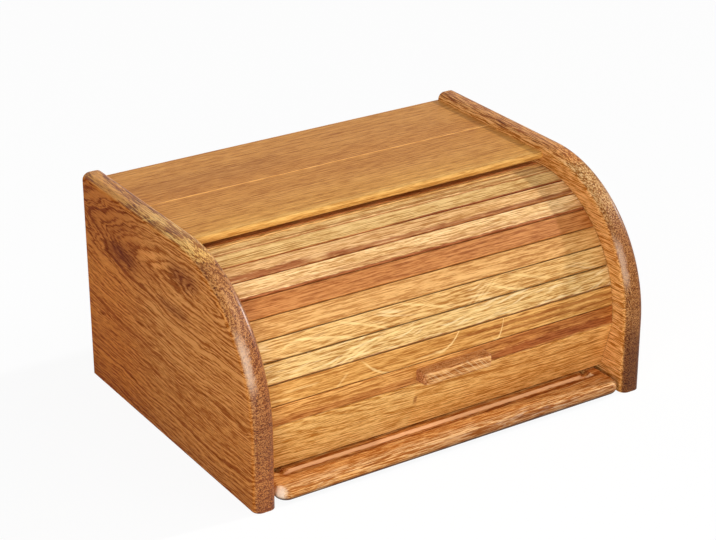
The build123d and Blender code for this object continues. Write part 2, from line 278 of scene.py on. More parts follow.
rings, take, give = new_group(
    "growth_rings",
    [
        ("Place", "vector", (0, 0, 0)), ("Pith", "vector", (0, 0, -60)),
        ("Lean", "vector", (0, 0, 0)), ("Ring Width", "number", 3.0),
        ("Wander", "number", 4.0), ("Seed", "number", 0.0),
    ],
    [("Spring", "number")],
)
slow = grain_noise(rings, take, (0.011, 0.038, 0.038), detail=3.0, roughness=0.6)
drift = scaled(rings, vector_sum(rings, "SUBTRACT", slow.outputs["Color"], (0.5, 0.5, 0.5)),
               take["Wander"])
from_pith = vector_sum(rings, "SUBTRACT", vector_sum(rings, "ADD", take["Place"], drift),
                       take["Pith"])
along = add(rings, "SeparateXYZ", {0: from_pith}).outputs["X"]
leaned = vector_sum(rings, "SUBTRACT", from_pith, scaled(rings, take["Lean"], along))
radius = vector_sum(rings, "LENGTH", vector_sum(rings, "MULTIPLY", leaned, (0, 1, 1)))
# Fibres fray the edge of each ring.
fray = grain_noise(rings, take, (0.07, 0.8, 0.8))
radius = sum_of(rings, "ADD", radius, swinging(rings, fray, RING_FRAY))
count = sum_of(rings, "DIVIDE", radius, take["Ring Width"])
uneven = add(rings, "TexNoise",
             {"W": sum_of(rings, "ADD", sum_of(rings, "MULTIPLY", count, YEAR_CHANGE),
                          take["Seed"]),
              "Scale": 1.0, "Detail": 1.0}, noise_dimensions="1D")
count = sum_of(rings, "ADD", count,
               sum_of(rings, "MULTIPLY", uneven.outputs["Fac"], YEAR_SPREAD))
phase = sum_of(rings, "FRACT", count)
band = sum_of(rings, "MULTIPLY", ease(rings, phase, *RING_RISE),
              ease(rings, phase, *RING_FALL, 1.0, 0.0))
after = sum_of(rings, "MULTIPLY", ease(rings, phase, *PALE_RISE),
               ease(rings, phase, *PALE_FALL, 1.0, 0.0))
band = sum_of(rings, "SUBTRACT", band, sum_of(rings, "MULTIPLY", after, PALE_DEPTH))
# Some years leave a strong ring and some a faint one.
year = add(rings, "TexWhiteNoise",
           {"W": sum_of(rings, "ADD", sum_of(rings, "FLOOR", count), take["Seed"])},
           noise_dimensions="1D").outputs["Value"]
strong = sum_of(rings, "ADD", FAINTEST_YEAR,
                sum_of(rings, "MULTIPLY", year, 1.0 - FAINTEST_YEAR))
rings.links.new(sum_of(rings, "MULTIPLY", band, strong), give["Spring"])
print("growth_rings:", len(rings.nodes), "nodes")

# %% [markdown]
# ## Fibres and pores
#
# Between the rings, wood is made of long fibres, and oak has open pores: thin
# dark dashes a centimetre or so long. Both are noise that is stretched along
# the grain. Because the noise fills space and not only the face, it turns
# into dots by itself where a rounded edge cuts across the grain.

# %% Group: fibres and pores
FIBRE_EDGES, PORE_EDGES, CLOUD_EDGES = (0.42, 0.58), (0.54, 0.64), (0.33, 0.67)

fibres, take, give = new_group(
    "fibres_and_pores",
    [
        ("Place", "vector", (0, 0, 0)), ("Stretch", "number", 25.0),
        ("Fineness", "number", 0.78), ("Seed", "number", 0.0),
    ],
    [("Fibre", "number"), ("Pores", "number"), ("Cloud", "number")],
)
parts = add(fibres, "SeparateXYZ", {0: take["Place"]}).outputs
squeezed = add(
    fibres, "CombineXYZ",
    {"X": sum_of(fibres, "DIVIDE", parts["X"], take["Stretch"]),
     "Y": parts["Y"], "Z": parts["Z"]},
).outputs[0]
strands = noise(fibres, scaled(fibres, squeezed, take["Fineness"]), take["Seed"],
                detail=3.0, roughness=0.7)
flakes = grain_noise(fibres, take, (0.07, 1.15, 1.15), shift=3.0, roughness=0.65)
both = sum_of(fibres, "ADD", sum_of(fibres, "MULTIPLY", strands.outputs["Fac"], 0.5),
              sum_of(fibres, "MULTIPLY", flakes.outputs["Fac"], 0.5))
fibres.links.new(ease(fibres, both, *FIBRE_EDGES), give["Fibre"])
dashes = grain_noise(fibres, take, (0.05, 1.1, 1.1), detail=1.0)
fibres.links.new(ease(fibres, dashes.outputs["Fac"], *PORE_EDGES), give["Pores"])
clouds = grain_noise(fibres, take, (0.010, 0.06, 0.06))
fibres.links.new(ease(fibres, clouds.outputs["Fac"], *CLOUD_EDGES), give["Cloud"])
print("fibres_and_pores:", len(fibres.nodes), "nodes")

# %% [markdown]
# ## Ray flecks
#
# Oak cut towards the middle of the tree shows its rays: pale, shiny ribbons
# that cross the grain at a slant. They come in patches. Each ribbon here is
# the crest of a noise that is drawn out along the slant and swings slowly, and
# a second, slower noise says where the patches are.

# %% Group: ray flecks
RIBBON_SWING = 26.0          # mm
RIBBON_ALONG, RIBBON_DEEP = 0.03, 0.4    # cells in a millimetre
RIBBON_EDGES, PATCH_EDGES = (0.52, 0.66), (-0.10, 0.10)
NO_COVER, FULL_COVER = 0.80, 0.20    # what the patch noise must pass

flecks, take, give = new_group(
    "ray_flecks",
    [
        ("Place", "vector", (0, 0, 0)), ("Slant", "number", 0.1),
        ("Size", "number", 2.0), ("Cover", "number", 0.5), ("Seed", "number", 0.0),
    ],
    [("Rays", "number")],
)
parts = add(flecks, "SeparateXYZ", {0: take["Place"]}).outputs
swing = grain_noise(flecks, take, (0.016, 0.03, 0.03), detail=1.0)
swung = sum_of(flecks, "ADD", parts["Y"], swinging(flecks, swing, RIBBON_SWING))
sheared = sum_of(flecks, "SUBTRACT", swung,
                 sum_of(flecks, "MULTIPLY", parts["X"], take["Slant"]))
across = sum_of(flecks, "DIVIDE", sheared, take["Size"])
ribbon_place = add(
    flecks, "CombineXYZ",
    {"X": sum_of(flecks, "MULTIPLY", parts["X"], RIBBON_ALONG), "Y": across,
     "Z": sum_of(flecks, "MULTIPLY", parts["Z"], RIBBON_DEEP)},
).outputs[0]
ribbon = ease(flecks, noise(flecks, ribbon_place, take["Seed"]).outputs["Fac"], *RIBBON_EDGES)
patches = grain_noise(flecks, take, (0.018, 0.06, 0.06), shift=7.0, detail=1.0)
bar = sum_of(flecks, "SUBTRACT", NO_COVER,
             sum_of(flecks, "MULTIPLY", take["Cover"], NO_COVER - FULL_COVER))
patch = ease(flecks, sum_of(flecks, "SUBTRACT", patches.outputs["Fac"], bar), *PATCH_EDGES)
flecks.links.new(sum_of(flecks, "MULTIPLY", ribbon, patch), give["Rays"])
print("ray_flecks:", len(flecks.nodes), "nodes")

# %% [markdown]
# ## A streak of another tone
#
# Many of the slats have one band that is darker or redder than the rest, where
# the saw passed near the heart of the tree, and some have a single long ray
# that curves across them. Both are one streak: a line that starts at a place,
# may tilt, bend and sway, and has a width and soft ends.

# %% Group: one streak
STREAK_FRAY = 2.2            # as a share of its softness

streak, take, give = new_group(
    "one_streak",
    [
        ("Place", "vector", (0, 0, 0)), ("Middle", "number", 0.0),
        ("Half Width", "number", 3.0), ("Softness", "number", 2.0), ("Tilt", "number", 0.0),
        ("Bend", "number", 0.0), ("Sway", "number", 3.0), ("Start", "number", -400.0),
        ("End", "number", 400.0), ("Fade", "number", 40.0), ("Seed", "number", 0.0),
    ],
    [("Streak", "number")],
)
parts = add(streak, "SeparateXYZ", {0: take["Place"]}).outputs
sway_noise = grain_noise(streak, take, (0.03, 0.09, 0.09), detail=3.0, roughness=0.6)
sway = swinging(streak, sway_noise, sum_of(streak, "MULTIPLY", take["Sway"], 2.0))
run = sum_of(streak, "SUBTRACT", parts["X"], take["Start"])
climb = sum_of(streak, "MULTIPLY", run, sum_of(
    streak, "ADD", take["Tilt"], sum_of(streak, "MULTIPLY", run, take["Bend"])))
off_line = sum_of(streak, "ABSOLUTE", sum_of(
    streak, "SUBTRACT", sum_of(streak, "ADD", parts["Y"], sway),
    sum_of(streak, "ADD", take["Middle"], climb)))
# Fibres fray its edges.
fray = grain_noise(streak, take, (0.11, 0.7, 0.7), roughness=0.6)
off_line = sum_of(streak, "ADD", off_line, swinging(
    streak, fray, sum_of(streak, "MULTIPLY", take["Softness"], STREAK_FRAY)))
band = ease(streak, off_line, take["Half Width"],
            sum_of(streak, "ADD", take["Half Width"], take["Softness"]), 1.0, 0.0)
begun = ease(streak, run, sum_of(streak, "MULTIPLY", take["Fade"], -1.0), 0.0)
not_over = ease(streak, parts["X"], take["End"],
                sum_of(streak, "ADD", take["End"], take["Fade"]), 1.0, 0.0)
streak.links.new(
    sum_of(streak, "MULTIPLY", band, sum_of(streak, "MULTIPLY", begun, not_over)),
    give["Streak"])
print("one_streak:", len(streak.nodes), "nodes")

# %% [markdown]
# ## The oak face
#
# One group joins the effects into a finished oak surface. It first adds up how
# dark the wood is: the spring part of each ring is darker because its pores
# are open, and the fibres and slow clouds vary the tone. The rays lie over
# that, and the pores show most where the grain is cut across. It gives the
# colour, the roughness and a height for the bump.

# %% Group: oak face
SPRING_MEAN = 0.06                   # what the ring pattern adds up to on average
CUT_FIBRES, CUT_DOTS = 0.9, 0.45     # how much rougher the tone is where the grain is cut
DOT_EDGES = (0.38, 0.62)
CLOSED_PORES = 0.4
ROUGH_WOOD, ROUGH_PORE, SMOOTH_RAY = 0.46, 0.25, 0.12
FIBRE_HEIGHT = 0.3

oak, take, give = new_group(
    "oak_face",
    [
        ("Place", "vector", (0, 0, 0)), ("End Grain", "number", 0.0),
        ("Pale", "colour", paint("e0b070")), ("Body", "colour", paint("cf9850")),
        ("Dark", "colour", paint("a0622c")), ("Ray Colour", "colour", paint("f0d7a4")),
        ("Pith", "vector", (0, 0, -60)), ("Lean", "vector", (0, 0, 0)),
        ("Ring Width", "number", 3.0), ("Wander", "number", 4.0),
        ("Ring Contrast", "number", 0.4), ("Fibre Contrast", "number", 0.5),
        ("Cloud Contrast", "number", 0.25), ("Pore Strength", "number", 0.4),
        ("Slant", "number", 0.1), ("Ray Size", "number", 2.0),
        ("Ray Cover", "number", 0.0), ("Ray Strength", "number", 0.6), ("Seed", "number", 0.0),
    ],
    [("Colour", "colour"), ("Roughness", "number"), ("Height", "number")],
)
ring = place(oak, rings, {n: take[n] for n in
                          ("Place", "Pith", "Lean", "Ring Width", "Wander", "Seed")})
fibre = place(oak, fibres, {"Place": take["Place"], "Seed": take["Seed"]})
ray = place(oak, flecks, {"Place": take["Place"], "Slant": take["Slant"],
                          "Size": take["Ray Size"], "Cover": take["Ray Cover"],
                          "Seed": take["Seed"]})
# How dark the wood is here: 0 is pale, a half is its plain tone and 1 is dark.
dark = 0.5
speckle = sum_of(oak, "MULTIPLY", take["Fibre Contrast"],
                 sum_of(oak, "ADD", 1.0, sum_of(oak, "MULTIPLY", take["End Grain"], CUT_FIBRES)))
dots = noise(oak, take["Place"], take["Seed"], detail=1.0)
for level, middle, size in (
    (ring["Spring"], SPRING_MEAN, take["Ring Contrast"]),
    (fibre["Fibre"], 0.5, speckle),
    (fibre["Cloud"], 0.5, take["Cloud Contrast"]),
    (ease(oak, dots.outputs["Fac"], *DOT_EDGES), 0.5,
     sum_of(oak, "MULTIPLY", take["End Grain"], CUT_DOTS)),
):
    dark = sum_of(oak, "ADD", dark, sum_of(
        oak, "MULTIPLY", sum_of(oak, "SUBTRACT", level, middle), size))
twice = sum_of(oak, "MULTIPLY", dark, 2.0)
wood = mix(oak, sum_of(oak, "MAXIMUM", sum_of(oak, "MINIMUM", twice, 1.0), 0.0),
           take["Pale"], take["Body"])
wood = mix(oak, sum_of(oak, "SUBTRACT", twice, 1.0, clamp=True), wood, take["Dark"])
ray_share = sum_of(oak, "MULTIPLY", ray["Rays"], take["Ray Strength"])
wood = mix(oak, ray_share, wood, take["Ray Colour"])
open_grain = sum_of(oak, "ADD", sum_of(oak, "ADD", CLOSED_PORES, ring["Spring"]),
                    take["End Grain"])
pore_share = sum_of(oak, "MULTIPLY", fibre["Pores"],
                    sum_of(oak, "MULTIPLY", take["Pore Strength"], open_grain), clamp=True)
pore_share = sum_of(oak, "MULTIPLY", pore_share, sum_of(oak, "SUBTRACT", 1.0, ray_share))
wood = mix(oak, pore_share, wood, tinted(oak, take["Dark"], paint("bba890")))
wood = tinted(oak, wood, mix(oak, take["End Grain"], (1, 1, 1, 1), paint("e6d3cf")))
oak.links.new(wood, give["Colour"])
rough = sum_of(oak, "ADD", ROUGH_WOOD, sum_of(oak, "MULTIPLY", pore_share, ROUGH_PORE))
rough = sum_of(oak, "SUBTRACT", rough, sum_of(oak, "MULTIPLY", ray_share, SMOOTH_RAY))
oak.links.new(rough, give["Roughness"])
height = sum_of(oak, "SUBTRACT",
                sum_of(oak, "MULTIPLY", fibre["Fibre"], FIBRE_HEIGHT), pore_share)
oak.links.new(height, give["Height"])
print("oak_face:", len(oak.nodes), "nodes")

# %% [markdown]
# ## Tones and streaks
#
# Oiled oak turns redder where it is dark and yellower where it is pale, so one
# plain tone gives the other two. A streak is written as its tint, its strength
# and its place on the plank, and a single ray is a thin streak of ray colour.

# %% Tones and streaks
RAY_TONE = paint("f8d692")
RAY_HALF_WIDTH, RAY_SOFTNESS = 0.35, 1.1     # mm
RAY_SLANT_SOFTNESS = 0.6                     # mm more for a steep one
RAY_SWAY, RAY_FADE = 1.2, 8.0                # mm


def tones(code, pale=(1.27, 1.46, 1.85), dark=(0.60, 0.45, 0.28)):
    """The pale, plain and dark tone of oak, from the plain one."""
    plain = paint(code)
    return {
        "Pale": (*(min(p * k, 1.0) for p, k in zip(plain, pale)), 1.0),
        "Body": plain,
        "Dark": (*(p * k for p, k in zip(plain, dark)), 1.0),
    }


def stripe(tint, strength, plain=False, **values):
    """A streak for oak_material. plain lays the tint on as a colour of its own."""
    values = {name.replace("_", " ").title(): value for name, value in values.items()}
    return values, (*tint[:3], 1.0), strength, plain


def single_ray(start, end, middle, tilt, bend, strength):
    """One long pale ray. Its start also serves as its seed."""
    return stripe(
        RAY_TONE, strength, plain=True, middle=middle, half_width=RAY_HALF_WIDTH,
        softness=RAY_SOFTNESS + RAY_SLANT_SOFTNESS * abs(tilt), tilt=tilt, bend=bend,
        sway=RAY_SWAY, start=start, end=end, fade=RAY_FADE, seed=start)


def lay_streak(tree, colour, spot, one, over=None):
    """Lays one streak on a colour, only as far as over says where that is given."""
    values, tint, strength, plain = one
    made = place(tree, streak, {"Place": spot, **values})
    if over is not None:
        strength = sum_of(tree, "MULTIPLY", over, strength)
    share = sum_of(tree, "MULTIPLY", made["Streak"], strength)
    return mix(tree, share, colour, tint if plain else tinted(tree, colour, tint))


for part, tone in tones("c98f4e").items():
    print(part, "tone:", [round(c, 2) for c in tone[:3]])

# %% [markdown]
# ## From a piece to its plank
#
# The grain must follow each stick, so every material first turns the object's
# place into the plank's own: x along the grain, y across the face, z out of
# it, in millimetres. Object coordinates move with the piece, so the wood stays
# with a slat while the curtain rolls.

# %% A helper that makes one oak material
CUT_FACING = (0.35, 0.85)            # how far a surface faces along the grain: end grain
NOSE_FACING = (0.72, 0.97)           # how far it still faces as the flat side does
NOSE_CUT, NOSE_OIL = 0.6, 1.2
# These set where the painted shade at the slat joints starts and where it is full.
SLAT_EDGE = 9.5                      # mm from the middle of a slat's face
SHADE_FROM, SHADE_FULL = 1.2, 0.2      # mm from that edge
JOINT_SHADE_TINT = paint("c07040")
UNDER_FACING = (-0.05, 0.55)
BUMP_STRENGTH, BUMP_DEPTH = 0.3, 0.4 * MM
RUBBED_ROUGHNESS = 0.34


def oak_material(name, origin, along, across, looks, streaks=(), joint_painted_shade=0.0,
                 polished=None, nose_tone_and_painted_light=(1, 1, 1), painted_nose_shading=(), rub=1.0,
                 under=None, shine=0.12):
    """An oak material whose grain runs along one direction of the object.

    origin, along and across say where the plank lies. looks feeds the oak_face group, and streaks
    are made by stripe or single_ray. joint_painted_shade says how far painted shade darkens a slat
    towards its neighbours.
    polished is the direction that the flat faces look in: where the surface turns away from it,
    the cut fibres drink more oil and hands rub it to a shine. rub says how much,
    nose_tone_and_painted_light how the tone differs there, partly the wood and partly painted
    light and shade, and painted_nose_shading are painted highlights and painted shade along the
    nose: x up, y through the board's thickness. under tints what faces down.
    """
    material, tree, shader = new_material(name)
    along, across = Vector(along).normalized(), Vector(across).normalized()
    turn = Matrix((along, across, along.cross(across)))
    where = add(tree, "TexCoord").outputs
    plank = add(
        tree, "Mapping",
        {"Vector": where["Object"], "Location": -1000 * (turn @ Vector(origin)),
         "Rotation": turn.to_euler("XYZ"), "Scale": (1000, 1000, 1000)},
    ).outputs["Vector"]
    facing = sum_of(tree, "ABSOLUTE",
                    vector_sum(tree, "DOT_PRODUCT", where["Normal"], tuple(along)))
    cut = ease(tree, facing, *CUT_FACING)
    if polished:
        flat = sum_of(tree, "ABSOLUTE",
                      vector_sum(tree, "DOT_PRODUCT", where["Normal"], polished))
        turned = ease(tree, flat, *NOSE_FACING, 1.0, 0.0)
        cut = sum_of(tree, "MAXIMUM", cut, sum_of(tree, "MULTIPLY", turned, NOSE_CUT))
    face = place(tree, oak, {"Place": plank, "End Grain": cut, **looks})
    colour = face["Colour"]
    for one in streaks:
        colour = lay_streak(tree, colour, plank, one)
    # Painted shade: a slat darkens towards its joints.
    if joint_painted_shade:
        off_middle = sum_of(tree, "ABSOLUTE",
                            add(tree, "SeparateXYZ", {0: plank}).outputs["Y"])
        share = ease(tree, off_middle, SLAT_EDGE - SHADE_FROM, SLAT_EDGE - SHADE_FULL,
                     0.0, joint_painted_shade)
        colour = mix(tree, share, colour, tinted(tree, colour, JOINT_SHADE_TINT))
    if polished:
        deeper = add(tree, "Gamma", {"Color": colour, "Gamma": NOSE_OIL}).outputs["Color"]
        # The nose tint is partly the wood's tone and partly painted light and shade.
        colour = mix(tree, turned, colour, tinted(tree, deeper, (*nose_tone_and_painted_light, 1.0)))
        parts = add(tree, "SeparateXYZ", {0: plank}).outputs
        upright = add(tree, "CombineXYZ",
                      {"X": parts["Y"], "Y": parts["Z"], "Z": parts["X"]}).outputs[0]
        # The nose streaks are painted highlights and painted shade.
        for one in painted_nose_shading:
            colour = lay_streak(tree, colour, upright, one, over=turned)
    if under:
        down = vector_sum(tree, "DOT_PRODUCT", where["Normal"], (0, 0, -1))
        colour = mix(tree, ease(tree, down, *UNDER_FACING), colour,
                     tinted(tree, colour, (*under, 1.0)))
    tree.links.new(colour, shader.inputs["Base Color"])
    tree.links.new(face["Roughness"], shader.inputs["Roughness"])
    bump = add(tree, "Bump", {"Strength": BUMP_STRENGTH, "Distance": BUMP_DEPTH,
                              "Height": face["Height"]})
    tree.links.new(bump.outputs["Normal"], shader.inputs["Normal"])
    shader.inputs["Specular IOR Level"].default_value = shine
    if polished:
        tree.links.new(sum_of(tree, "MULTIPLY", turned, rub), shader.inputs["Coat Weight"])
        shader.inputs["Coat Roughness"].default_value = RUBBED_ROUGHNESS
    return material


def finish_piece(name, material):
    """Gives one CAD piece its material."""
    mesh = nodes[name].data
    mesh.materials.clear()
    mesh.materials.append(material)


print("oak_material ready, an edge darkens from", SLAT_EDGE - SHADE_FROM, "mm")

# %% [markdown]
# ## The two sides
#
# Each side is one thick board with its grain running from back to front. It is
# cut near the heart of the tree, so its outer face has an eye of nested rings
# near the shoulder, and straight lines below it. A few darker blotches and one
# pale flame lie round the eye. The rounded noses are end grain. Their broad
# tints, and the wide ones on the slats and the rail, were matched to the
# photograph under these lamps, so part of each is its light and not the wood.
# For use in other light they can be left out.

# %% Sides
SIDE_TONE, SIDE_TONE_RIGHT = "bb7535", "d6964f"
SIDE_SPREAD = {"pale": (1.28, 1.50, 2.05), "dark": (0.58, 0.40, 0.20)}
side_looks = {
    **tones(SIDE_TONE, **SIDE_SPREAD), "Ray Colour": paint("c99a62"),
    "Pith": (70.0, 64.0, 0.0), "Lean": (0.0, 0.0, 0.19), "Ring Width": 3.6, "Wander": 22.0,
    "Ring Contrast": 1.15, "Fibre Contrast": 1.25, "Cloud Contrast": 0.30,
    "Pore Strength": 0.70, "Seed": 3.0,
}
deep, pale = paint("a9846c"), (1.30, 1.38, 1.50)
side_streaks = [
    stripe((1.0, 0.83, 0.57), 1.0, half_width=200, end=-110, fade=110, seed=4),
    stripe(deep, 0.4, middle=78, half_width=8, softness=60, sway=10, end=-90, fade=90, seed=5),
    stripe(deep, 0.85, middle=49, half_width=1, softness=15, sway=8, start=-92, end=-72, fade=30,
           seed=6),
    stripe(deep, 0.85, middle=72, half_width=1, softness=16, sway=8, start=32, end=46, fade=30,
           seed=7),
    stripe(deep, 0.6, middle=34.5, half_width=0.5, softness=8, sway=4, start=6, end=30, fade=26,
           seed=8),
    stripe(pale, 0.75, middle=68.5, half_width=1, softness=13, sway=10, start=-30, end=-16,
           fade=26, seed=9),
    stripe((0.92, 0.84, 0.74), 0.8, middle=60, half_width=8, softness=30, sway=10, start=-60,
           end=-6, fade=30, seed=14),
    # The last two streaks darken the face towards its bottom: painted shade near the floor.
    stripe((0.93, 0.86, 0.74), 0.95, middle=-90, half_width=20, softness=70, sway=6, seed=15),
    stripe(deep, 0.3, middle=-104, half_width=2, softness=26, sway=6, seed=10),
]
side_material_left = oak_material(
    "oak_side_left", (-0.210, 0.0, 0.1035), (0, -1, 0), (0, 0, 1), side_looks, side_streaks,
    # The nose tint is partly the wood's tone and partly a painted sheen. The nose streaks are a
    # painted highlight on the outer half, painted shade along the inner edge, and painted light
    # low down and on the top.
    polished=(1, 0, 0), nose_tone_and_painted_light=(0.97, 1.43, 2.05), rub=0.55, shine=0.02,
    painted_nose_shading=[
        stripe(paint("dcb898"), 0.5, plain=True, middle=-4, half_width=1, softness=5, sway=2,
               start=24, end=40, fade=22, seed=60),
        stripe((0.78, 0.66, 0.55), 0.8, middle=-19, half_width=3.5, softness=5, sway=1.5, end=70,
               fade=30, seed=61),
        stripe((1.26, 1.28, 1.30), 0.8, middle=-10, half_width=30, end=-80, fade=40, seed=62),
        stripe((1.62, 2.08, 2.05), 0.9, middle=-10, half_width=30, start=99, fade=6, seed=63),
    ])
side_material_right = oak_material(
    "oak_side_right", (0.189, 0.0, 0.1035), (0, -1, 0), (0, 0, 1),
    {**side_looks, **tones(SIDE_TONE_RIGHT, **SIDE_SPREAD), "Seed": 11.0,
     "Pith": (70.0, 190.0, -40.0), "Lean": (0.0, 0.0, 0.10), "Ring Width": 3.0,
     "Wander": 16.0, "Ring Contrast": 0.35, "Fibre Contrast": 1.15},
    [stripe((0.93, 0.87, 0.84), 0.9, middle=62, half_width=20, softness=36, seed=12)],
    # The nose tint is partly the wood's tone and partly painted shade. The nose streaks are
    # painted shade low down, painted light on the top, a painted highlight near the inner edge and
    # painted shade along the outer edge; the last streak makes the very top redder.
    polished=(1, 0, 0), nose_tone_and_painted_light=(0.70, 0.88, 1.05), rub=0.3, shine=0.03,
    painted_nose_shading=[
        stripe((0.42, 0.30, 0.21), 0.9, middle=-10, half_width=30, end=-66, fade=50, seed=64),
        stripe((1.60, 2.05, 2.85), 0.9, middle=-10, half_width=30, start=96, fade=50, seed=65),
        stripe(paint("e0bc9e"), 0.4, plain=True, middle=-3.5, half_width=1, softness=3.5, sway=2,
               start=16, end=34, fade=18, seed=66),
        stripe((0.62, 0.52, 0.45), 0.8, middle=-21, half_width=3.5, softness=4, sway=1, seed=67),
        stripe((1.00, 0.72, 0.49), 0.95, middle=-10, half_width=30, start=99.5, fade=5, seed=68),
    ])
finish_piece("side_panel_left", side_material_left)
finish_piece("side_panel_right", side_material_right)
print("sides finished")

# %% [markdown]
# ## The top
#
# Two wide planks, very even in tone, with fine straight grain. At the seam between them a pale
# line on one edge is a painted highlight, and a dark line on the other is painted shade. The
# rounded front edge is made paler with a painted highlight.

# %% Top planks
TOP_TONE_FRONT, TOP_TONE_REAR = "c3853d", "c0813b"
top_looks = {
    "Pith": (0.0, 300.0, -260.0), "Ring Width": 2.6, "Wander": 5.0,
    "Ring Contrast": 0.34, "Fibre Contrast": 0.62, "Cloud Contrast": 0.18,
    "Pore Strength": 0.34,
}
finish_piece("top_plank_front", oak_material(
    "oak_top_front", (0.0, 0.025, 0.1996), (1, 0, 0), (0, 1, 0),
    {**top_looks, **tones(TOP_TONE_FRONT), "Seed": 21.0},
    # A dark line of painted shade at the seam.
    [stripe(paint("9a7358"), 0.9, middle=43.4, half_width=0.5, softness=0.7, sway=0.2, seed=1),
     # A painted highlight along the rounded front edge.
     stripe((1.14, 1.31, 1.62), 0.9, middle=-41, half_width=3.5, softness=3, sway=0.5, seed=4),
     stripe((0.91, 0.84, 0.74), 0.9, middle=38, half_width=10, softness=32, seed=5),
     stripe((1.06, 1.10, 1.02), 0.9, middle=-32, half_width=8, softness=26, seed=6)]))
finish_piece("top_plank_rear", oak_material(
    "oak_top_rear", (0.0, 0.112, 0.1996), (1, 0, 0), (0, 1, 0),
    {**top_looks, **tones(TOP_TONE_REAR), "Seed": 26.0},
    # A painted highlight along the seam.
    [stripe((1.34, 1.48, 1.85), 0.95, middle=-42.6, half_width=0.7, softness=0.8, sway=0.3,
            seed=2),
     stripe((0.95, 0.90, 0.82), 0.9, middle=-36, half_width=4, softness=24, seed=7),
     stripe(paint("d8cabf"), 0.45, middle=-10, half_width=3, softness=26, sway=10, start=-150,
            end=-60, fade=60, seed=3)]))
print("top finished")

# %% [markdown]
# ## The slats
#
# No two slats come from the same stick. Each gets its own tone, rings and
# rays, listed from the lowest slat to the one furthest back: tone, ring
# contrast, fibre contrast, how much of it rays cover, their slant and size.
# The single rays are listed as start, end, height on the face, tilt, bend and
# strength.

# %% Tones and rays of the slats
SLAT_LOOKS = {
    1: ("cb8d47", 0.45, 0.95, 0, 0, 2.0),
    2: ("c58b45", 0.40, 0.85, 0.10, 0, 2.0),
    3: ("c89b5a", 0.40, 1.05, 0.70, 0.10, 2.2),
    4: ("c69554", 0.40, 1.00, 0.40, -0.12, 2.0),
    5: ("c18a4a", 0.20, 0.85, 0, 0, 2.0),
    6: ("ae6c33", 0.20, 0.80, 0, 0, 2.0),
    7: ("d9ab6f", 0.50, 0.85, 0.20, 0, 2.0),
    8: ("cd9b61", 0.40, 0.80, 0, 0, 2.0),
    9: ("d0a463", 0.40, 0.85, 0.10, 0, 2.0),
    10: ("dab06f", 0.50, 0.95, 0.10, 0, 2.0),
    # Slat 11's bright orange tone is painted light: it colours the shade under the top's front
    # edge.
    11: ("e6954e", 0.50, 0.85, 0.10, 0, 2.0),
    12: ("d8a45e", 0.50, 0.85, 0.10, 0, 2.0),
}
# How strongly painted shade darkens each slat towards its joints; slats 1 to 7 get none.
JOINT_SHADE_STRENGTHS = {8: 0.75, 9: 0.95, 10: 0.85, 11: 0.3, 12: 0.3}
red_brown, brown = paint("b0785a"), paint("c09a78")
slat_streaks = {
    1: [stripe(paint("cfae94"), 0.7, middle=-5.5, half_width=2, softness=3.5, sway=2, end=-38,
               fade=20, seed=1),
        stripe(red_brown, 0.8, middle=-6, half_width=1.8, softness=5.5, tilt=0.06, bend=-0.0003,
               sway=2.5, start=44, fade=12, seed=2),
        stripe(brown, 0.7, middle=6.5, half_width=2, softness=3, sway=2, start=30, fade=30,
               seed=3),
        # Darker towards the right end: painted shade.
        stripe((0.93, 0.80, 0.72), 0.9, half_width=30, start=90, fade=90, seed=17)],
    2: [stripe(brown, 0.8, middle=3, half_width=0.8, softness=1.6, sway=3, start=30, seed=4),
        stripe(brown, 0.7, middle=-3, half_width=0.8, softness=2, sway=3, start=60, seed=5)],
    # Slat 3's red-brown line runs along its lower edge: painted shade at the joint below.
    3: [stripe(red_brown, 0.8, middle=-9.3, half_width=0.6, softness=1.2, sway=0.5, seed=6)],
    # Slat 7's first red-brown line runs along its lower edge: painted shade at the joint below.
    7: [stripe(red_brown, 0.95, middle=-8.4, half_width=0.8, softness=1.6, sway=0.8, seed=7),
        stripe(brown, 0.6, middle=-3.5, half_width=0.6, softness=1.4, sway=2, seed=8)],
    8: [stripe(red_brown, 0.85, middle=-5.2, half_width=1.6, softness=3.6, sway=4, end=-112,
               fade=24, seed=9),
        stripe(red_brown, 0.85, middle=-5.8, half_width=1, softness=3.2, sway=4, start=-76,
               end=-66, fade=18, seed=10),
        stripe(red_brown, 0.7, middle=-6.6, half_width=0.8, softness=2.2, sway=2.5, start=-50,
               fade=20, seed=11),
        stripe(red_brown, 0.4, middle=-5.5, half_width=0.6, softness=2.6, sway=2.5, start=95,
               fade=20, seed=12),
        # Lighter towards the right end: painted light.
        stripe((1.12, 1.17, 1.20), 0.9, half_width=30, start=110, fade=90, seed=18)],
    # Slat 9's red-brown line runs along its lower edge towards the right: painted shade at the
    # joint below.
    9: [stripe(red_brown, 0.9, middle=-8.9, half_width=0.5, softness=1.4, sway=0.6, start=35,
               fade=60, seed=13)],
    # The first streak is painted light: it makes the top of this slat, in the shade under the
    # top's front edge, lighter and redder.
    10: [stripe((1.25, 1.12, 0.92), 0.9, middle=9.5, half_width=4.5, softness=3, sway=0.4,
                seed=16),
         stripe(brown, 0.8, middle=-6, half_width=0.8, softness=2.2, sway=3, seed=14),
         stripe(red_brown, 0.6, middle=1, half_width=0.6, softness=2, sway=3, start=60, seed=15)],
}
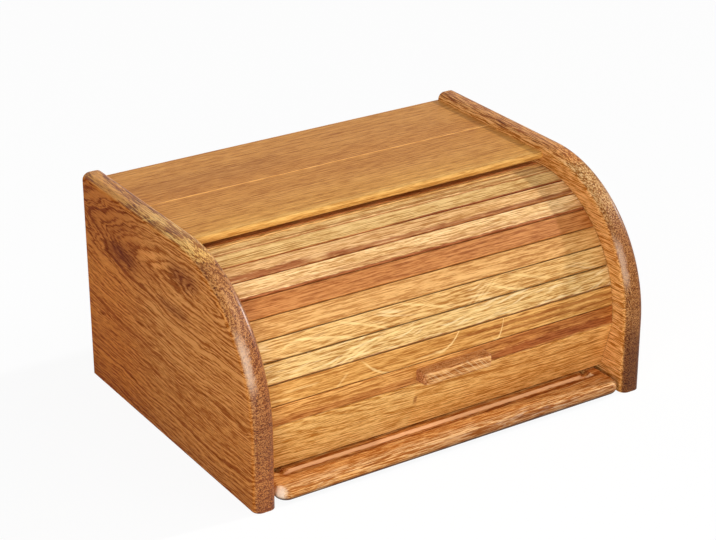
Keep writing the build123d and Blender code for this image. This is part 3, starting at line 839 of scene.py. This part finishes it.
slat_rays = {
    2: [(-82, -64, 2.0, -1.0, 0.0216, 0.45), (-6, 12.5, -4.8, 0.05, 0.0289, 0.60),
        (-28, -8, -4.9, 0, 0, 0.25), (56, 62.5, -8.0, 0.6, 0.164, 0.55),
        (-163, -138, 0.6, 0, 0, 0.3), (-176, -165, -4.5, -0.1, 0, 0.3),
        (-112, -108, -6.0, 0.8, 0, 0.3)],
    3: [(-118, -84, -8.5, 0.50, -0.0042, 0.4), (-108, -72, -8.8, 0.50, -0.0040, 0.4),
        (-98, -50, -8.0, 0.42, -0.0032, 0.4), (-176, -120, -6.6, -0.02, 0, 0.3),
        (-160, -116, 3.0, -0.06, 0, 0.3), (-50, 45, 4.0, 0.05, -0.0006, 0.35),
        (0, 110, -3.0, 0.08, -0.0007, 0.35), (10, 90, -8.0, 0.08, -0.0005, 0.3)],
    4: [(-156, -140, 0, 0.28, -0.01, 0.4), (-142, -96, 2.8, -0.16, -0.0012, 0.45),
        (-98, -60, 6.6, -0.30, -0.0017, 0.4), (-126, -98, -1.5, -0.22, 0, 0.3),
        (-32, 7, 6.8, -0.30, 0, 0.35), (40, 58, -7.5, 0.62, 0, 0.3),
        (46, 62, -7.0, 0.62, 0, 0.3), (34, 50, -6.5, 0.55, 0, 0.25),
        (67, 93, -1.5, -0.32, 0, 0.5), (84, 118, 6.0, -0.30, 0, 0.25)],
}
print("slats described:", len(SLAT_LOOKS))

# %% [markdown]
# ## Dressing the slats
#
# A loop now turns the list into materials. The rings and the noise move on by
# a step from one slat to the next, so that none repeats its neighbour.

# %% Dress the slats
PITH_STEP, SEED_STEP = 9.0, 3.7

for number, (tone, ring_size, fibre_size, cover, slant, ray_size) in SLAT_LOOKS.items():
    angle = FIRST_SLAT + (number - 1) * SLAT_PITCH
    name = f"slat_{number:02d}"
    finish_piece(name, oak_material(
        "oak_" + name, ROLL_AXIS + SLAT_FACE * outward(angle), (1, 0, 0), upward(angle),
        {**tones(tone), "Pith": (0.0, 80.0 + PITH_STEP * number, -90.0), "Ring Width": 2.6,
         "Wander": 7.0, "Ring Contrast": ring_size, "Fibre Contrast": fibre_size,
         "Pore Strength": 0.30, "Ray Cover": cover, "Ray Size": ray_size, "Slant": slant,
         "Seed": 40.0 + SEED_STEP * number},
        [*slat_streaks.get(number, ()), *(single_ray(*r) for r in slat_rays.get(number, ()))],
        joint_painted_shade=JOINT_SHADE_STRENGTHS.get(number, 0.0)))
print("slats finished:", len(SLAT_LOOKS))

# %% [markdown]
# ## Rail, handle and board
#
# The wide rail is the curtain's lowest stick, with one small knot. The handle
# is a short piece with rays across it, and the board is glued up from wide oak.
# What faces down on the board is tinted nearly black: that is the shade in the
# photograph, not the wood.

# %% Rail, handle and board
RAIL_TONE, HANDLE_TONE, BOARD_TONE = "daa054", "c4884c", "b77636"
HANDLE_MIDDLE = 125.0 * MM            # from the axis
finish_piece("bottom_rail", oak_material(
    "oak_rail", ROLL_AXIS + RAIL_FACE * outward(RAIL_ANGLE), (1, 0, 0), upward(RAIL_ANGLE),
    {**tones(RAIL_TONE, pale=(1.28, 1.56, 2.15), dark=(0.60, 0.42, 0.20)),
     "Pith": (-150.0, 40.0, -40.0), "Lean": (0.0, 0.0, 0.12),
     "Ring Width": 3.2, "Wander": 10.0, "Ring Contrast": 0.45, "Fibre Contrast": 0.95,
     "Pore Strength": 0.45, "Ray Cover": 0.1, "Seed": 91.0},
    [stripe((0.46, 0.31, 0.24), 0.8, middle=6.5, half_width=2.4, softness=3, sway=1, start=-31.4,
            end=-30, fade=2.2, seed=20),
     stripe((1.02, 0.94, 0.84), 0.5, half_width=60, start=-31, fade=3, seed=22),
     # Darker towards the right end: painted shade.
     stripe((0.94, 0.85, 0.80), 0.9, half_width=60, start=90, fade=100, seed=23)]))
finish_piece("pull_handle", oak_material(
    "oak_handle", ROLL_AXIS + HANDLE_MIDDLE * outward(FIRST_SLAT), (1, 0, 0),
    upward(FIRST_SLAT),
    {**tones(HANDLE_TONE, dark=(0.56, 0.38, 0.20)), "Pith": (0.0, 10.0, -30.0),
     "Ring Width": 2.5, "Wander": 3.0, "Ring Contrast": 0.6, "Fibre Contrast": 1.45,
     "Pore Strength": 0.6, "Ray Cover": 1.0, "Slant": -1.0, "Ray Size": 1.0,
     "Ray Strength": 0.35, "Seed": 102.0},
    # Painted shade on the handle's top face.
    [stripe((0.68, 0.56, 0.47), 0.95, middle=7.2, half_width=2.3, softness=0.6, sway=0, seed=21)],
    shine=0.08))
finish_piece("cutting_board", oak_material(
    "oak_board", (0.0, -0.0158, 0.015), (1, 0, 0), (0, 1, 0),
    {**tones(BOARD_TONE, pale=(1.42, 1.85, 2.90), dark=(0.66, 0.47, 0.27)),
     "Pith": (0.0, -60.0, -70.0), "Wander": 8.0,
     "Ring Contrast": 0.45, "Fibre Contrast": 1.5, "Pore Strength": 0.7, "Ray Cover": 0.35,
     "Ray Strength": 0.3, "Seed": 113.0},
    # A painted highlight on the rear wall of the juice groove.
    [stripe(paint("dda574"), 0.9, plain=True, middle=-110, half_width=0.8, softness=1.1, sway=0.1,
            start=-163, end=166, fade=6, seed=30),
     # Painted shade on the board just behind the groove, under the rail's lower edge.
     stripe((0.80, 0.66, 0.50), 0.9, middle=-106.3, half_width=2, softness=0.8, sway=0.2, seed=31),
     # Painted shade on the front wall of the groove.
     stripe((0.66, 0.54, 0.44), 0.95, middle=-115.4, half_width=3.3, softness=1.3, sway=0.2,
            start=-166, end=172, fade=10, seed=32),
     # A painted highlight at the right end of the groove.
     stripe(paint("f2d2a6"), 0.75, plain=True, middle=-113, half_width=2.4, softness=1.2,
            start=168, end=171, fade=2, seed=36),
     # A painted highlight on the front left corner.
     stripe(paint("efcc9c"), 0.7, plain=True, middle=-134, half_width=3, softness=4, end=-182,
            fade=5, seed=35),
     # A painted highlight along the rounded front edge.
     stripe((1.06, 1.34, 2.05), 0.7, middle=-134.5, half_width=2, softness=5, sway=2, seed=33),
     # Painted shade on the front edge, growing towards the right.
     stripe((0.62, 0.58, 0.68), 0.85, middle=-139.8, half_width=1.2, softness=0.6, sway=0.2,
            start=20, fade=120, seed=34)],
    under=(0.14, 0.10, 0.08), shine=0.08))
print("rail, handle and board finished")

# %% [markdown]
# ## Panels, dowels and screws
#
# The back, floor and base are thin oak-faced panels. Light beech dowels pin the
# top planks, and yellow screws hold the panels.

# %% Panels and small parts
panel_looks = {
    **tones("bd8a4a"), "Pith": (0.0, 60.0, -120.0), "Ring Width": 4.0, "Wander": 10.0,
    "Ring Contrast": 0.35, "Fibre Contrast": 0.4, "Pore Strength": 0.3, "Seed": 130.0,
}
for name, origin, across in (
    ("back_panel", (0.0, 0.1557, 0.094), (0, 0, 1)),
    ("floor_panel", (0.0, 0.02, 0.0216), (0, 1, 0)),
    ("base_panel", (0.0, 0.015, 0.0005), (0, 1, 0)),
    ("board_stop", (0.0, 0.132, 0.009), (0, 1, 0)),
):
    finish_piece(name, oak_material("oak_" + name, origin, (1, 0, 0), across, panel_looks))
finish_piece("top_dowels", oak_material(
    "beech_dowels", (0, 0, 0.19), (1, 0, 0), (0, 1, 0),
    {**panel_looks, **tones("d2b283"), "Seed": 140.0}))

print("panels and dowels finished")

# %% [markdown]
# ## Screws
#
# The screws are yellow metal, a little stained, so their colour and their
# roughness both follow one fine noise.

# %% Screws
STAIN_SIZE = 900.0                    # specks in a metre
screw_material, tree, shader = new_material("yellow_screw")
where = add(tree, "TexCoord").outputs
stain = add(tree, "TexNoise",
            {"Vector": where["Object"], "Scale": STAIN_SIZE, "Detail": 2.0}).outputs["Fac"]
tree.links.new(mix(tree, stain, paint("c9a85a"), paint("a8863e")), shader.inputs["Base Color"])
shader.inputs["Metallic"].default_value = 1.0
tree.links.new(ease(tree, stain, 0.2, 0.8, 0.28, 0.42), shader.inputs["Roughness"])
for name in ("back_screws", "base_screws", "handle_screws"):
    finish_piece(name, screw_material)
print("screws finished")

# %% [markdown]
# ## The canvas behind the slats
#
# What makes a row of sticks a curtain is the cloth glued to their backs. It
# lies flat on each slat and bends only at the joints, so its section is drawn
# as one short run for each slat, a little closer than the slat's own back.

# %% Canvas
CANVAS_HALF_WIDTH = 170.5 * MM
CANVAS_THICKNESS = 0.6 * MM
CANVAS_RUN = 106.45 * MM              # from the axis to the middle of the cloth on a slat
CANVAS_FIRST = math.radians(-9.0)
CANVAS_LAST = FIRST_SLAT + (SLAT_COUNT - 0.5) * SLAT_PITCH - math.radians(0.1)


def canvas_place(angle):
    """A point of the cloth's section: straight behind each slat, bent at the joints."""
    number = round((angle - FIRST_SLAT) / SLAT_PITCH)
    middle = FIRST_SLAT + number * SLAT_PITCH
    return ROLL_AXIS + outward(angle) * (CANVAS_RUN / math.cos(angle - middle))


canvas_mesh = bpy.data.meshes.new("slat_canvas")
shape = bmesh.new()
ACROSS, AROUND = 120, 144
section = [canvas_place(CANVAS_FIRST + (CANVAS_LAST - CANVAS_FIRST) * step / AROUND)
           for step in range(AROUND + 1)]
rows = [
    [shape.verts.new((CANVAS_HALF_WIDTH * (2 * k / ACROSS - 1), point.y, point.z))
     for k in range(ACROSS + 1)]
    for point in section
]
for low, high in zip(rows, rows[1:]):
    for k in range(ACROSS):
        shape.faces.new((low[k], low[k + 1], high[k + 1], high[k])).smooth = True
shape.to_mesh(canvas_mesh)
shape.free()
canvas = put_in_scene("slat_canvas", canvas_mesh)
thick = canvas.modifiers.new("cloth_thickness", "SOLIDIFY")
thick.thickness, thick.offset = CANVAS_THICKNESS, 0.0
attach(canvas, "curtain")
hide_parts("curtain_canvas")

# %% [markdown]
# ## The weave
#
# Two waves of bands cross each other, and where both are high a thread lies on
# top. The same product gives the tone and the height.

# %% Canvas material
THREADS = 260.0                       # the scale of both waves
WEAVE_STRENGTH, WEAVE_DEPTH = 0.6, 0.3 * MM
canvas_material, tree, shader = new_material("canvas_weave")
where = add(tree, "TexCoord").outputs
warp, weft = (
    add(tree, "TexWave", {"Vector": where["Object"], "Scale": THREADS},
        bands_direction=direction).outputs["Fac"]
    for direction in "XZ")
weave = sum_of(tree, "MULTIPLY", warp, weft)
tree.links.new(mix(tree, weave, paint("9c6430"), paint("c88f4e")), shader.inputs["Base Color"])
shader.inputs["Roughness"].default_value = 0.9
shader.inputs["Specular IOR Level"].default_value = 0.1
bump = add(tree, "Bump",
           {"Strength": WEAVE_STRENGTH, "Distance": WEAVE_DEPTH, "Height": weave})
tree.links.new(bump.outputs["Normal"], shader.inputs["Normal"])
canvas_mesh.materials.append(canvas_material)
print("canvas finished")

# %% [markdown]
# ## The floor
#
# The object stands on a pale floor that the camera sees as nearly white, with
# only a faint shadow. A lamp bright enough to make it white would bleach the
# wood. So the floor glows for rays that come from the camera, straight or by
# way of something glossy or clear, and is a plain grey for all other light.

# %% Floor
FLOOR_HALF, FLOOR_DROP = 6.0, 0.2 * MM
FLOOR_LIT, FLOOR_SEEN = (0.65, 0.65, 0.65, 1.0), (0.88, 0.88, 0.88, 1.0)
FLOOR_GLOW = 0.92            # the rest is lit floor, which holds the shadow


def seen_directly(tree):
    """One where the camera sees it, straight or in something glossy or clear, and else zero."""
    path = add(tree, "LightPath").outputs
    return sum_of(tree, "MAXIMUM", path["Is Camera Ray"],
                  sum_of(tree, "MAXIMUM", path["Is Glossy Ray"], path["Is Transmission Ray"]))


floor_mesh = bpy.data.meshes.new("floor")
shape = bmesh.new()
bmesh.ops.create_grid(shape, x_segments=1, y_segments=1, size=FLOOR_HALF)
shape.to_mesh(floor_mesh)
shape.free()
floor = put_in_scene("floor", floor_mesh)
floor.location.z = -FLOOR_DROP
floor_material, tree, shader = new_material("pale_floor")
shader.inputs["Roughness"].default_value = 0.8
shader.inputs["Specular IOR Level"].default_value = 0.0
white = add(tree, "Emission", {"Color": (1, 1, 1, 1), "Strength": 1.0})
seen = seen_directly(tree)
tree.links.new(mix(tree, seen, FLOOR_LIT, FLOOR_SEEN), shader.inputs["Base Color"])
blend = add(tree, "MixShader", {0: sum_of(tree, "MULTIPLY", seen, FLOOR_GLOW),
                                1: shader.outputs["BSDF"], 2: white.outputs["Emission"]})
tree.links.new(blend.outputs["Shader"], tree.nodes["Material Output"].inputs["Surface"])
floor_mesh.materials.append(floor_material)
print("floor ready")

# %% [markdown]
# ## The background
#
# The background follows the same rule: white where it is seen, and dim where
# it only lights the wood.

# %% Background
AMBIENT = 0.26
world = bpy.data.worlds.new("studio")
bpy.context.scene.world = world
world.use_nodes = True
tree = world.node_tree
strength = ease(tree, seen_directly(tree), 0.0, 1.0, AMBIENT, 1.0)
tree.links.new(strength, tree.nodes["Background"].inputs["Strength"])
tree.nodes["Background"].inputs["Color"].default_value = (1, 1, 1, 1)
print("background lights the object at", AMBIENT)

# %% [markdown]
# ## Lamps
#
# A hard lamp high on the right throws the right side's shadow over the ends of
# the slats. A big soft lamp in front lights the curtain and the rail, one
# above lights the top, and a narrow one on the left draws the bright lines
# along the rounded edges.

# %% Lamps
LAMP_AIM = Vector((0, 0, 0.1))


def lamp(name, kind, direction, distance, **settings):
    """A lamp that looks at the middle of the object from a direction."""
    data = bpy.data.lights.new(name, kind)
    for setting, value in settings.items():
        setattr(data, setting, value)
    made = put_in_scene(name, data)
    towards = Vector(direction).normalized()
    made.location = LAMP_AIM + towards * distance
    made.rotation_euler = towards.to_track_quat("Z", "Y").to_euler()


lamp("right_lamp", "SUN", (1.0, -0.119, 0.517), 2.5, energy=2.6, angle=math.radians(2.5))
lamp("front_soft_lamp", "AREA", (-0.40, -0.85, 0.34), 2.0, energy=15.0, shape="RECTANGLE",
     size=1.2, size_y=0.9)
lamp("upper_soft_lamp", "AREA", (0.35, -0.42, 0.80), 2.2, energy=12.0, shape="RECTANGLE",
     size=1.4, size_y=1.2)
lamp("left_soft_lamp", "AREA", (-0.73, -0.61, 0.29), 2.0, energy=14.0, shape="RECTANGLE",
     size=0.42, size_y=0.9)

scene = bpy.context.scene
scene.view_settings.view_transform = "Standard"
